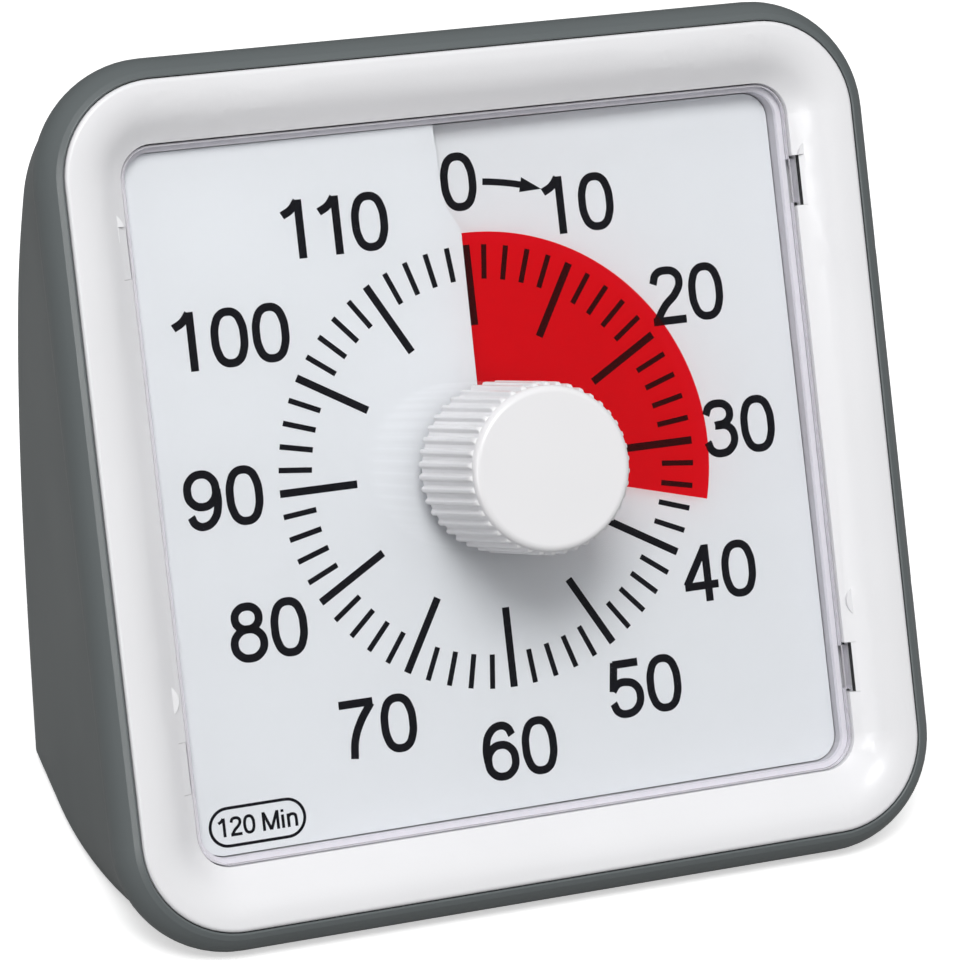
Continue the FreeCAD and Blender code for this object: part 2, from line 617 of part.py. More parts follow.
# cell: can and raised pole
pole = 1.3
plate_x = BAY_HALF - 0.5
can = rod_x(CELL_R, plate_x - pole - CELL_L, plate_x - pole, CELL_Y, CELL_Z)
cell = fuse([can, rod_x(2.7, plate_x - pole, plate_x, CELL_Y, CELL_Z)])
NODES["battery_cell"] = cell
contact = fuse([block(plate_x, BAY_HALF, CELL_Y - 6.0, CELL_Y + 4.5, CELL_Z - 6.0, CELL_Z + 6.0),
                block(plate_x, BAY_HALF, CELL_Y - 6.6, CELL_Y - 5.9, CELL_Z - 2.0, CELL_Z + 2.0)])
NODES["contact_plate"] = contact

# coil spring of the other contact
spring_from = -BAY_HALF + 0.5
spring_to = plate_x - pole - CELL_L
turns = 4.0
wire_r = 0.4
coil_length = spring_to - spring_from - 2.0 * wire_r
helix = Part.makeHelix(coil_length / turns, coil_length, 3.4)
section = Part.Wire(Part.makeCircle(wire_r, Vector(3.4, 0, 0), Vector(0, 1, 0)))
spring = Part.Wire(helix).makePipeShell([section], True, True)
spring.rotate(Vector(0, 0, 0), Vector(0, 1, 0), 90.0)
spring.translate(Vector(spring_from + wire_r, CELL_Y, CELL_Z))
NODES["contact_spring"] = spring
foot = fuse([block(-BAY_HALF, spring_from, CELL_Y - 6.0, CELL_Y + 4.5, CELL_Z - 6.0, CELL_Z + 6.0),
             block(-BAY_HALF, spring_from, CELL_Y - 6.6, CELL_Y - 5.9, CELL_Z - 2.0, CELL_Z + 2.0)])
NODES["spring_plate"] = foot

# battery door: a piece of the back wall on a rounded hinge edge, with end pins and a thumb notch
skin_up = outer_up.cut(upright(case_body(DOOR_T, BAND_Z + 4.0)))
door = skin_up.common(block(-BAY_HALF + DOOR_GAP, BAY_HALF - DOOR_GAP, 30.0, 60.0, hinge_z, BAY_HIGH - DOOR_GAP))
roll = rod_x(0.5 * DOOR_T, -BAY_HALF + DOOR_GAP, BAY_HALF - DOOR_GAP, hinge_y, hinge_z)
pins = rod_x(PIN_R, -BAY_HALF - 1.4, BAY_HALF + 1.4, hinge_y, hinge_z)
door = fuse([door, roll, pins])
thumb = Part.makeSphere(9.0, Vector(0, back_y(BAY_HIGH - 2.5) + 7.9, BAY_HIGH - 3.4))
door = door.cut(thumb)
NODES["battery_door"] = door

# sound holes and the buzzer behind them
buzzer_wall = back_y(GRILLE_Z)
case = case.cut(rod_y(GRILLE_HOLE, 30.0, 60.0, 0.0, GRILLE_Z))
for ring_r, count in ((3.8, 6), (7.6, 12)):
    for i in range(count):
        a = 2.0 * math.pi * i / count
        case = case.cut(rod_y(GRILLE_HOLE, 30.0, 60.0, ring_r * math.cos(a), GRILLE_Z + ring_r * math.sin(a)))
seat_y = buzzer_wall - WALL - 4.0
cup = rod_y(BUZZER_R + 1.4, seat_y - 1.4, 60.0, 0.0, GRILLE_Z).common(inner_up)
cup = cup.cut(rod_y(BUZZER_R - 1.0, 20.0, 60.0, 0.0, GRILLE_Z)).cut(rod_y(BUZZER_R, seat_y, 60.0, 0.0, GRILLE_Z))
NODES["buzzer_cup"] = cup
NODES["buzzer_disc"] = fuse([rod_y(BUZZER_R, seat_y, seat_y + 0.3, 0.0, GRILLE_Z),
                             rod_y(9.5, seat_y - 0.3, seat_y, 0.0, GRILLE_Z)])

# volume switch: slot, housing, slider with a ridged thumb piece
switch_wall = back_y(SWITCH_Z)
case = case.cut(block(SWITCH_X - 0.5 * SLOT_L, SWITCH_X + 0.5 * SLOT_L, 30.0, 60.0,
                      SWITCH_Z - 0.5 * SLOT_H, SWITCH_Z + 0.5 * SLOT_H))
inside_y = switch_wall - WALL
body = block(SWITCH_X - 10.0, SWITCH_X + 10.0, inside_y - 7.0, 60.0, SWITCH_Z - 4.6, SWITCH_Z + 4.6).common(inner_up)
body = body.cut(block(SWITCH_X - 8.6, SWITCH_X + 8.6, inside_y - 3.2, 60.0, SWITCH_Z - 3.2, SWITCH_Z + 3.2))
NODES["switch_body"] = body
thumb_piece = block(SWITCH_X - 2.0, SWITCH_X + 2.0, inside_y - 1.5, switch_wall + 1.4, SWITCH_Z - 1.7, SWITCH_Z + 1.7)
for x in (-1.1, 0.0, 1.1):
    thumb_piece = thumb_piece.cut(block(SWITCH_X + x - 0.22, SWITCH_X + x + 0.22, switch_wall + 1.0, 70.0, -30.0, 30.0))
slide = fuse([thumb_piece, block(SWITCH_X - 4.6, SWITCH_X + 4.6, inside_y - 2.9, inside_y - 1.2,
                                 SWITCH_Z - 2.9, SWITCH_Z + 2.9)])
NODES["switch_slider"] = slide

# rubber feet in pockets of the base
feet = []
for x in (-FOOT_X, FOOT_X):
    for y in (FOOT_FRONT, FOOT_BACK):
        top = -BASE_DROP + FOOT_SUNK
        case = case.cut(drum(FOOT_R + 0.1, -BASE_DROP - 5.0, top, x, y))
        foot = drum(FOOT_R, top - FOOT_T, top, x, y)
        feet.append(foot.makeChamfer(0.4, [foot.Edges[2]]))
NODES["rubber_feet"] = Part.makeCompound(feet)
NODES["case_shell"] = case

# screws: four in the case wells, four under the movement cover
case_screws = []
for side in (-1, 1):
    for y in (SCREW_UP, SCREW_DOWN):
        seat = POST_FOOT - 2.1
        screw = fuse([drum(2.7, seat - 1.9, seat, side * SCREW_X, y), drum(1.2, seat, 2.0, side * SCREW_X, y)])
        for bar in ((1.7, 0.3), (0.3, 1.7)):
            x = side * SCREW_X
            screw = screw.cut(block(x - bar[0], x + bar[0], y - bar[1], y + bar[1], seat - 3.0, seat - 0.9))
        case_screws.append(screw)
NODES["case_screws"] = upright(Part.makeCompound(case_screws))
cover_screws = []
carrier_up = NODES["dial_carrier"]
for sx in (-1, 1):
    for sy in (-1, 1):
        x = sx * (MOVE_HALF + 2.4)
        y = sy * 20.0
        seat = MOVE_FRONT - 1.8
        cover_screws.append(fuse([drum(2.2, seat - 1.4, seat, x, y), drum(1.1, seat, CARRIER_TOP - 0.3, x, y)]))
        carrier_up = carrier_up.cut(upright(drum(1.1, MOVE_FRONT - 1.0, CARRIER_TOP - 0.3, x, y)))
NODES["dial_carrier"] = carrier_up
NODES["cover_screws"] = upright(Part.makeCompound(cover_screws))

# ------- stand the timer on its feet, centred over the origin
front_y = min(NODES[n].optimalBoundingBox().YMin for n in ("front_bezel", "knob", "case_shell"))
rear_y = max(NODES[n].optimalBoundingBox().YMax for n in ("case_shell", "switch_slider"))
floor_z = NODES["rubber_feet"].optimalBoundingBox().ZMin
SEAT = Vector(0.0, -0.5 * (front_y + rear_y), -floor_z)
os.makedirs("parts", exist_ok=True)
for name, shape in NODES.items():
    shape.translate(SEAT)
    shape.exportStep("parts/" + name + ".step")
    print(name, len(shape.Solids), shape.isValid(), round(shape.Volume, 1))


def told(name, x, y, z):
    """Print a point of the face frame as it stands, in metres."""
    p = upright(Part.Vertex(x, y, z)).Point + SEAT
    print(name, [round(v / 1000.0, 6) for v in p])


told("dial centre", 0, 0, 0)
told("second wheel", -centre, -centre, WHEEL_Z)
told("rotor", ROTOR_X, ROTOR_Y, coil_z)
print("hinge", round((hinge_y + SEAT.y) / 1000.0, 6), round((hinge_z + SEAT.z) / 1000.0, 6))
print("switch", SWITCH_X / 1000.0, round((switch_wall + SEAT.y) / 1000.0, 6), round((SWITCH_Z + SEAT.z) / 1000.0, 6))
print("seat", SEAT, "front", front_y, "rear", rear_y, "floor", floor_z)
b = NODES["case_shell"].optimalBoundingBox()
print("case", [round(v, 2) for v in (b.XMin, b.XMax, b.YMin, b.YMax, b.ZMin, b.ZMax)])
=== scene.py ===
import math

import bmesh
import bpy
from mathutils import Matrix, Vector


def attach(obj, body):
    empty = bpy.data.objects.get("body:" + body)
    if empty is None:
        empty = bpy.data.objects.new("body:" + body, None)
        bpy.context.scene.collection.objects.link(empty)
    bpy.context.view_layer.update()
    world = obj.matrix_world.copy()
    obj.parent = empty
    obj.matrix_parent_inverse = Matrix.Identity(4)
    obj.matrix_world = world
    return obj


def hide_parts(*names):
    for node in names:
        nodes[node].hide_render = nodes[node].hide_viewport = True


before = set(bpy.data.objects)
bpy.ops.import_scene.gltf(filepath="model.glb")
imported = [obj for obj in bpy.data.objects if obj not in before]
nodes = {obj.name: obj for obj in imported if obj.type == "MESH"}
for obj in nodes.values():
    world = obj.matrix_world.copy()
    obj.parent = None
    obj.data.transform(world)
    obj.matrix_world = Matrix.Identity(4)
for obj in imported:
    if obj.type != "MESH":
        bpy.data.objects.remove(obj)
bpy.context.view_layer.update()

# The dial's own frame is in mm: x to the right, y up the dial, z out of it towards the viewer.
MM = 0.001
LEAN = math.radians(24.0)
DIAL_CENTRE = (0.0, -0.005908, 0.0652)
DIAL_NORMAL = (0.0, -math.cos(LEAN), math.sin(LEAN))
FACE = (Matrix.Translation(DIAL_CENTRE)
        @ Matrix.Rotation(math.radians(90.0) - LEAN, 4, "X")
        @ Matrix.Scale(MM, 4))
TURN = 360.0


# camera

CAMERA_PLACE = (-0.23795, -0.58729, 0.36337)
CAMERA_RIGHT = (0.9324, -0.35939, 0.0382)
CAMERA_AHEAD = (0.33975, 0.83556, -0.43175)
CAMERA_LENS = 158.965
CAMERA_SENSOR = 36.0


def make_camera():
    right = Vector(CAMERA_RIGHT).normalized()
    ahead = Vector(CAMERA_AHEAD).normalized()
    up = right.cross(ahead).normalized()
    right = ahead.cross(up)
    data = bpy.data.cameras.new("camera")
    data.sensor_width = CAMERA_SENSOR
    data.lens = CAMERA_LENS
    camera = bpy.data.objects.new("camera", data)
    turn = Matrix((right, up, -ahead)).transposed().to_4x4()
    camera.matrix_world = Matrix.Translation(CAMERA_PLACE) @ turn
    bpy.context.scene.collection.objects.link(camera)
    bpy.context.scene.camera = camera


# materials

WINDOW_IOR = 1.42
WINDOW_CLEAR = (0.985, 0.985, 0.99)
WINDOW_SHINE = (0.93, 0.93, 0.96)
WINDOW_MILK = (0.80, 0.785, 0.82)
MILK_FROM = 0.25
MILK_TO = 0.9
MILK_MOST = 0.75
FOIL_CLEAR = (0.93, 0.002, 0.012)
FOIL_BODY = 0.045
MOULD_GRAIN_HIGH = 0.00004


def shader(name):
    material = bpy.data.materials.new(name)
    material.use_nodes = True
    tree = material.node_tree
    return material, tree, tree.nodes["Principled BSDF"]


def noise(tree, scale, detail=2.0):
    place = tree.nodes.new("ShaderNodeTexCoord")
    cloud = tree.nodes.new("ShaderNodeTexNoise")
    cloud.inputs["Scale"].default_value = scale
    cloud.inputs["Detail"].default_value = detail
    tree.links.new(place.outputs["Object"], cloud.inputs["Vector"])
    return cloud


def vary(tree, socket, cloud, low, high):
    span = tree.nodes.new("ShaderNodeMapRange")
    span.inputs["From Min"].default_value = 0.3
    span.inputs["From Max"].default_value = 0.7
    span.inputs["To Min"].default_value = low
    span.inputs["To Max"].default_value = high
    tree.links.new(cloud.outputs["Fac"], span.inputs["Value"])
    tree.links.new(span.outputs["Result"], socket)


def tint(tree, socket, cloud, first, second):
    blend = tree.nodes.new("ShaderNodeMix")
    blend.data_type = "RGBA"
    blend.inputs[6].default_value = (*first, 1.0)
    blend.inputs[7].default_value = (*second, 1.0)
    tree.links.new(cloud.outputs["Fac"], blend.inputs[0])
    tree.links.new(blend.outputs[2], socket)


def bump(tree, bsdf, cloud, strength, height):
    rise = tree.nodes.new("ShaderNodeBump")
    rise.inputs["Strength"].default_value = strength
    rise.inputs["Distance"].default_value = height
    tree.links.new(cloud.outputs["Fac"], rise.inputs["Height"])
    tree.links.new(rise.outputs["Normal"], bsdf.inputs["Normal"])


def moulded(name, colour, rough, grain=2600.0, strength=0.15, coat=0.0, metal=0.0, uneven=0.03):
    """Moulded plastic or plain metal: faint cloudiness, fine grain and an uneven sheen."""
    material, tree, bsdf = shader(name)
    cloud = noise(tree, 35.0)
    lighter = tuple(min(1.0, part * (1.0 + uneven)) for part in colour)
    darker = tuple(part * (1.0 - uneven) for part in colour)
    tint(tree, bsdf.inputs["Base Color"], cloud, darker, lighter)
    vary(tree, bsdf.inputs["Roughness"], cloud, rough * 0.92, rough * 1.08)
    bump(tree, bsdf, noise(tree, grain, 3.0), strength, MOULD_GRAIN_HIGH)
    bsdf.inputs["Metallic"].default_value = metal
    bsdf.inputs["Coat Weight"].default_value = coat
    bsdf.inputs["Coat Roughness"].default_value = 0.12
    return material


def see_through(tree, colour):
    through = tree.nodes.new("ShaderNodeBsdfTransparent")
    through.inputs["Color"].default_value = (*colour, 1.0)
    return through.outputs["BSDF"]


def mixed(tree, under, over):
    """Two finishes in one; the Fac of what it returns says how much of the second shows."""
    mix = tree.nodes.new("ShaderNodeMixShader")
    tree.links.new(under, mix.inputs[1])
    tree.links.new(over, mix.inputs[2])
    return mix


def off_axis(tree, start, end, most):
    """0 where a surface lies parallel to the dial, up to most where it stands upright on it."""
    surface = tree.nodes.new("ShaderNodeNewGeometry")
    across = tree.nodes.new("ShaderNodeVectorMath")
    across.operation = "CROSS_PRODUCT"
    across.inputs[1].default_value = DIAL_NORMAL
    size = tree.nodes.new("ShaderNodeVectorMath")
    size.operation = "LENGTH"
    span = tree.nodes.new("ShaderNodeMapRange")
    span.inputs["From Min"].default_value = start
    span.inputs["From Max"].default_value = end
    span.inputs["To Max"].default_value = most
    tree.links.new(surface.outputs["True Normal"], across.inputs[0])
    tree.links.new(across.outputs["Vector"], size.inputs[0])
    tree.links.new(size.outputs["Value"], span.inputs["Value"])
    return span.outputs["Result"]


def clear_plastic():
    """Polished window: almost all light goes through, and its skirt and edges turn milky."""
    material, tree, bsdf = shader("clear_plastic")
    tree.nodes.remove(bsdf)
    shine = tree.nodes.new("ShaderNodeBsdfGlossy")
    shine.inputs["Roughness"].default_value = 0.03
    shine.inputs["Color"].default_value = (*WINDOW_SHINE, 1.0)
    bump(tree, shine, noise(tree, 60.0), 0.02, 0.0002)
    polish = mixed(tree, see_through(tree, WINDOW_CLEAR), shine.outputs["BSDF"])
    glance = tree.nodes.new("ShaderNodeFresnel")
    glance.inputs["IOR"].default_value = WINDOW_IOR
    tree.links.new(glance.outputs["Fac"], polish.inputs["Fac"])
    milk = tree.nodes.new("ShaderNodeBsdfDiffuse")
    milk.inputs["Color"].default_value = (*WINDOW_MILK, 1.0)
    skirt = mixed(tree, polish.outputs["Shader"], milk.outputs["BSDF"])
    tree.links.new(off_axis(tree, MILK_FROM, MILK_TO, MILK_MOST), skirt.inputs["Fac"])
    tree.links.new(skirt.outputs["Shader"], tree.nodes["Material Output"].inputs["Surface"])
    return material


def red_foil():
    """See-through red film: the card and its print show through it."""
    material, tree, bsdf = shader("red_foil")
    bsdf.inputs["Specular IOR Level"].default_value = 0.3
    bsdf.inputs["Roughness"].default_value = 0.35
    cloud = noise(tree, 50.0)
    tint(tree, bsdf.inputs["Base Color"], cloud, (0.74, 0.002, 0.012), (0.80, 0.003, 0.016))
    foil = mixed(tree, see_through(tree, FOIL_CLEAR), bsdf.outputs["BSDF"])
    foil.inputs["Fac"].default_value = FOIL_BODY
    tree.links.new(foil.outputs["Shader"], tree.nodes["Material Output"].inputs["Surface"])
    return material


def ink():
    material, tree, bsdf = shader("ink")
    cloud = noise(tree, 900.0)
    tint(tree, bsdf.inputs["Base Color"], cloud, (0.004, 0.004, 0.007), (0.007, 0.007, 0.011))
    bsdf.inputs["Roughness"].default_value = 0.55
    bsdf.inputs["Specular IOR Level"].default_value = 0.08
    return material


def paper():
    material, tree, bsdf = shader("paper")
    cloud = noise(tree, 400.0, 4.0)
    tint(tree, bsdf.inputs["Base Color"], cloud, (0.900, 0.928, 0.935), (0.920, 0.948, 0.955))
    bsdf.inputs["Roughness"].default_value = 0.6
    bump(tree, bsdf, noise(tree, 3000.0, 3.0), 0.1, 0.00002)
    return material


def brushed(name, colour, rough=0.3):
    material, tree, bsdf = shader(name)
    place = tree.nodes.new("ShaderNodeTexCoord")
    stretch = tree.nodes.new("ShaderNodeMapping")
    stretch.inputs["Scale"].default_value = (1.0, 1.0, 30.0)
    lines = tree.nodes.new("ShaderNodeTexNoise")
    lines.inputs["Scale"].default_value = 300.0
    tree.links.new(place.outputs["Object"], stretch.inputs["Vector"])
    tree.links.new(stretch.outputs["Vector"], lines.inputs["Vector"])
    vary(tree, bsdf.inputs["Roughness"], lines, rough * 0.7, rough * 1.3)
    bump(tree, bsdf, lines, 0.1, 0.00003)
    bsdf.inputs["Base Color"].default_value = (*colour, 1.0)
    bsdf.inputs["Metallic"].default_value = 1.0
    return material


def dress(node, material):
    obj = nodes[node]
    if not obj.material_slots:
        obj.data.materials.append(material)
    for place in obj.material_slots:
        place.material = material


# How far the larger faces of a moulding steer its shading.
BEZEL_WEIGHT = 100
KNOB_WEIGHT = 50


def even_shading(obj, weight):
    """Flat areas of a moulding shade flat, with no streaks beside its small cuts."""
    weigh = obj.modifiers.new("even_shading", "WEIGHTED_NORMAL")
    weigh.weight = weight
    weigh.keep_sharp = True


def dress_nodes(white):
    """Gives each CAD node its finish."""
    finishes = (
        (white, ("front_bezel", "disc_hub", "dial_carrier", "knob")),
        (clear_plastic(), ("clear_window",)),
        (paper(), ("dial_card",)),
        (moulded("natural_plastic", (0.80, 0.79, 0.72), 0.5),
         ("movement_cover", "drive_wheel", "second_wheel")),
        (moulded("black_plastic", (0.03, 0.03, 0.033), 0.5),
         ("movement_box", "switch_body", "switch_slider", "buzzer_cup")),
        (moulded("case_grey", (0.122, 0.138, 0.141), 0.36, grain=3200.0, strength=0.2, uneven=0.05),
         ("case_shell", "battery_door")),
        (moulded("dark_plastic", (0.07, 0.07, 0.075), 0.55), ("battery_tray",)),
        (brushed("plated_steel", (0.62, 0.62, 0.63)),
         ("knob_shaft", "contact_plate", "contact_spring", "spring_plate", "case_screws", "cover_screws")),
        (moulded("laminations", (0.3, 0.31, 0.33), 0.4, metal=0.8), ("motor_core",)),
        (moulded("magnet", (0.15, 0.15, 0.16), 0.4, metal=0.6), ("rotor",)),
        (moulded("winding", (0.45, 0.16, 0.06), 0.3, metal=0.5), ("motor_coil",)),
        (moulded("board", (0.02, 0.13, 0.05), 0.35, coat=0.3), ("circuit_board",)),
        (moulded("cell_wrap", (0.05, 0.05, 0.06), 0.25, coat=0.4), ("battery_cell",)),
        (brushed("buzzer_brass", (0.72, 0.5, 0.2)), ("buzzer_disc",)),
        (moulded("rubber", (0.02, 0.02, 0.02), 0.75, strength=0.3), ("rubber_feet",)))
    for material, dressed in finishes:
        for node in dressed:
            dress(node, material)


# what several pieces share

def only(items, kind):
    """The points or the edges among what an operator made."""
    return [item for item in items if isinstance(item, kind)]


def pull(bm, faces, way):
    """Pulls faces along a way, so that they become a solid."""
    grown = bmesh.ops.extrude_face_region(bm, geom=faces)["geom"]
    bmesh.ops.translate(bm, verts=only(grown, bmesh.types.BMVert), vec=way)


def on_dial(radius, degrees):
    """A point of the dial, clockwise from the top."""
    way = math.radians(degrees)
    return radius * math.sin(way), radius * math.cos(way)


def finish_piece(bm, name, material, body, smooth=False):
    bm.transform(FACE)
    mesh = bpy.data.meshes.new(name)
    bm.to_mesh(mesh)
    bm.free()
    for face in mesh.polygons:
        face.use_smooth = smooth
    mesh.materials.append(material)
    piece = bpy.data.objects.new(name, mesh)
    bpy.context.scene.collection.objects.link(piece)
    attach(piece, body)
    return piece


# dial print

CARD_CLIMB = 3.1
CARD_LOW = -1.4
LIP_REACH = 7.0
PRINT_UP = 0.012
PRINT_DOWN = 0.06
WELD = 0.0005
STROKE = 1.3
TICKS = 60
TICKS_EACH_LONG = 5
TICK_OUT = 36.5
TICK_IN = 30.85
TICK_IN_LONG = 23.3
TICK_WIDE = 0.9
TICK_WIDE_LONG = 1.27
FIRST_TICK_X = 0.7
FIGURE_SIZE = 1.035
FIGURE_PITCH = 6.95
CLOSE_PITCH = 6.25
FIGURES = (
    ("0", 0.65, 46.9), ("10", 20.8, 41.3), ("20", 38.6, 24.4), ("30", 45.3, 1.3), ("40", 38.9, -22.4),
    ("50", 23.1, -39.6), ("60", -0.2, -46.7), ("70", -24.15, -39.5), ("80", -40.9, -21.4),
    ("90", -45.9, 0.6), ("100", -42.0, 26.0), ("110", -22.6, 42.0))
ARROW_R = 46.75
ARROW_FROM = 5.9
ARROW_TO = 14.0
ARROW_TIP = 18.6
ARROW_LINE = 1.1
ARROW_HEAD = 2.5
ARROW_STEPS = 6
PILL_X = -46.4
PILL_Y = -52.0
PILL_LONG = 16.0
PILL_HIGH = 6.1
PILL_LINE = 0.5
PILL_TEXT = 0.33
PILL_WEIGHT = 1.15
PILL_PITCHES = (2.2, 2.25, 3.65, 2.05, 1.6)

# Each letter's strokes: smooth or straight, closed or open, and its points.
GLYPHS = {
    "0": [(True, True, [(0, 4.0), (1.25, 3.6), (2.05, 2.25), (2.35, 0), (2.05, -2.25), (1.25, -3.6),
                        (0, -4.0), (-1.25, -3.6), (-2.05, -2.25), (-2.35, 0), (-2.05, 2.25),
                        (-1.25, 3.6)])],
    "1": [(False, False, [(0.65, -4.6), (0.65, 4.6)]),
          (True, False, [(-2.1, 2.3), (-0.55, 3.15), (0.5, 4.4)])],
    "2": [(True, False, [(-2.3, 2.0), (-1.6, 3.6), (0.0, 4.05), (1.7, 3.5), (2.25, 2.1), (1.5, 0.35),
                         (-0.6, -1.65), (-2.2, -3.9)]),
          (False, False, [(-2.85, -4.04), (2.9, -4.04)])],
    "3": [(True, False, [(-2.2, 2.35), (-1.5, 3.65), (-0.1, 4.05), (1.45, 3.55), (2.0, 2.25),
                         (1.3, 0.95), (-0.75, 0.5)]),
          (True, False, [(-0.75, 0.5), (1.5, 0.15), (2.4, -1.55), (1.6, -3.45), (-0.05, -4.05),
                         (-1.6, -3.55), (-2.35, -2.0)])],
    "4": [(False, False, [(1.1, -4.6), (1.1, 4.6)]),
          (False, False, [(-3.0, -1.95), (2.9, -1.95)]),
          (False, False, [(1.0, 4.15), (-2.65, -1.75)])],
    "5": [(False, False, [(-1.85, 4.04), (2.5, 4.04)]),
          (False, False, [(-1.6, 4.4), (-2.2, -0.25)]),
          (True, False, [(-2.25, -0.15), (-1.3, 0.85), (0.15, 1.05), (1.75, 0.35), (2.4, -1.4),
                         (1.7, -3.3), (0.0, -4.05), (-1.6, -3.6), (-2.35, -2.1)])],
    "6": [(True, True, [(0.1, 1.0), (1.75, 0.3), (2.4, -1.5), (1.75, -3.35), (0.1, -4.05),
                        (-1.55, -3.35), (-2.2, -1.5), (-1.55, 0.3)]),
          (True, False, [(-2.3, -1.5), (-2.3, 0.9), (-1.5, 3.1), (0.15, 4.05), (1.55, 3.6), (2.2, 2.35)])],
    "7": [(False, False, [(-2.9, 4.04), (2.75, 4.04)]),
          (True, False, [(2.45, 3.85), (0.35, 0.9), (-0.75, -1.7), (-1.15, -4.6)])],
    "8": [(True, True, [(0, 4.05), (1.4, 3.55), (1.95, 2.3), (1.4, 1.0), (0, 0.5), (-1.4, 1.0),
                        (-1.95, 2.3), (-1.4, 3.55)]),
          (True, True, [(0, 0.5), (1.7, -0.15), (2.4, -1.75), (1.7, -3.4), (0, -4.05), (-1.7, -3.4),
                        (-2.4, -1.75), (-1.7, -0.15)])],
    "M": [(False, False, [(-3.6, -4.6), (-3.6, 4.6)]), (False, False, [(3.6, -4.6), (3.6, 4.6)]),
          (False, False, [(-3.5, 4.3), (0.0, -4.4)]), (False, False, [(3.5, 4.3), (0.0, -4.4)])],
    "i": [(False, False, [(0, -4.6), (0, 2.05)]), (False, False, [(0, 3.3), (0, 4.6)])],
    "n": [(False, False, [(-2.0, -4.6), (-2.0, 2.05)]),
          (True, False, [(-2.0, 0.2), (-1.1, 1.35), (0.2, 1.65), (1.6, 1.0), (1.95, -0.6), (1.95, -4.6)])],
}
GLYPHS["9"] = [(smooth, closed, [(-x, -y) for x, y in points]) for smooth, closed, points in GLYPHS["6"]]


def card_height(x, y):
    """Top of the card over a point of the dial: it climbs once round, clockwise from the slit at the top."""
    turn = math.degrees(math.atan2(x, y))
    under_lip = y > TICK_OUT and x > -LIP_REACH
    return CARD_LOW + CARD_CLIMB / TURN * (turn if under_lip and turn < 0.0 else turn % TURN)


def strip_section(width):
    """The cross section of a printed strip: its top just over the card and its foot in it."""
    half = width / 2.0
    section = bpy.data.curves.new("section", "CURVE")
    section.dimensions = "2D"
    rim = section.splines.new("POLY")
    rim.points.add(3)
    corners = ((-half, -PRINT_DOWN), (half, -PRINT_DOWN), (half, PRINT_UP), (-half, PRINT_UP))
    for point, (across, up) in zip(rim.points, corners):
        point.co = (across, up, 0.0, 1.0)
    rim.use_cyclic_u = True
    section_object = bpy.data.objects.new("section", section)
    bpy.context.scene.collection.objects.link(section_object)
    return section_object


def ribbon(points, width, smooth, closed=False):
    """A flat strip of even width along a line, lying on the card, as a mesh."""
    section = strip_section(width)
    line = bpy.data.curves.new("line", "CURVE")
    line.dimensions = "2D"
    line.resolution_u = 10
    line.bevel_mode = "OBJECT"
    line.bevel_object = section
    line.use_fill_caps = True
    spline = line.splines.new("BEZIER")
    spline.bezier_points.add(len(points) - 1)
    for bend, (x, y) in zip(spline.bezier_points, points):
        bend.co = (x, y, 0.0)
        bend.handle_left_type = bend.handle_right_type = "AUTO" if smooth else "VECTOR"
    spline.use_cyclic_u = closed
    line_object = bpy.data.objects.new("line", line)
    bpy.context.scene.collection.objects.link(line_object)
    bpy.context.view_layer.update()
    solid = line_object.evaluated_get(bpy.context.evaluated_depsgraph_get())
    mesh = bpy.data.meshes.new_from_object(solid)
    bpy.data.objects.remove(line_object)
    bpy.data.objects.remove(section)
    return mesh


def write(strips, text, x, y, pitches, scale, weight=1.0):
    """Adds a word's strokes, centred on a point of the dial."""
    along = x - sum(pitches) / 2.0
    for letter, pitch in zip(text, (*pitches, 0.0)):
        for smooth, closed, points in GLYPHS[letter]:
            moved = [(along + across * scale, y + up * scale) for across, up in points]
            strips.append(ribbon(moved, STROKE * weight * scale, smooth, closed))
        along += pitch


def figures(strips):
    for text, x, y in FIGURES:
        pitch = CLOSE_PITCH if text == "110" else FIGURE_PITCH
        write(strips, text, x, y, [pitch] * (len(text) - 1), FIGURE_SIZE)


def ticks(strips):
    for count in range(TICKS):
        long = count % TICKS_EACH_LONG == 0
        aside = FIRST_TICK_X if count == 0 else 0.0
        inner = TICK_IN_LONG if long else TICK_IN
        ends = [on_dial(radius, TURN * count / TICKS) for radius in (inner, TICK_OUT)]
        wide = TICK_WIDE_LONG if long else TICK_WIDE
        strips.append(ribbon([(x + aside, y) for x, y in ends], wide, False))


def arrow(strips):
    way = ARROW_TO - ARROW_FROM
    run = [on_dial(ARROW_R, ARROW_FROM + way * step / ARROW_STEPS) for step in range(ARROW_STEPS + 1)]
    strips.append(ribbon(run, ARROW_LINE, True))
    half = ARROW_HEAD / 2.0
    corners = [on_dial(ARROW_R + half, ARROW_TO), on_dial(ARROW_R - half, ARROW_TO),
               on_dial(ARROW_R, ARROW_TIP)]
    bm = bmesh.new()
    top = bm.faces.new([bm.verts.new((x, y, PRINT_UP)) for x, y in corners])
    pull(bm, [top], (0, 0, -PRINT_UP - PRINT_DOWN))
    head = bpy.data.meshes.new("arrow_head")
    bm.to_mesh(head)
    bm.free()
    strips.append(head)


def pill(strips):
    """The rounded frame of the minutes label and its text."""
    radius = PILL_HIGH / 2.0
    half = PILL_LONG / 2.0 - radius
    for side in (1, -1):
        arc = [(PILL_X + side * (half + radius * math.cos(math.radians(turn))),
                PILL_Y + radius * math.sin(math.radians(turn))) for turn in range(-90, 91, 15)]
        strips.append(ribbon(arc, PILL_LINE, True))
        level = PILL_Y + side * radius
        strips.append(ribbon([(PILL_X - half, level), (PILL_X + half, level)], PILL_LINE, False))
    write(strips, "120Min", PILL_X, PILL_Y, PILL_PITCHES, PILL_TEXT, PILL_WEIGHT)


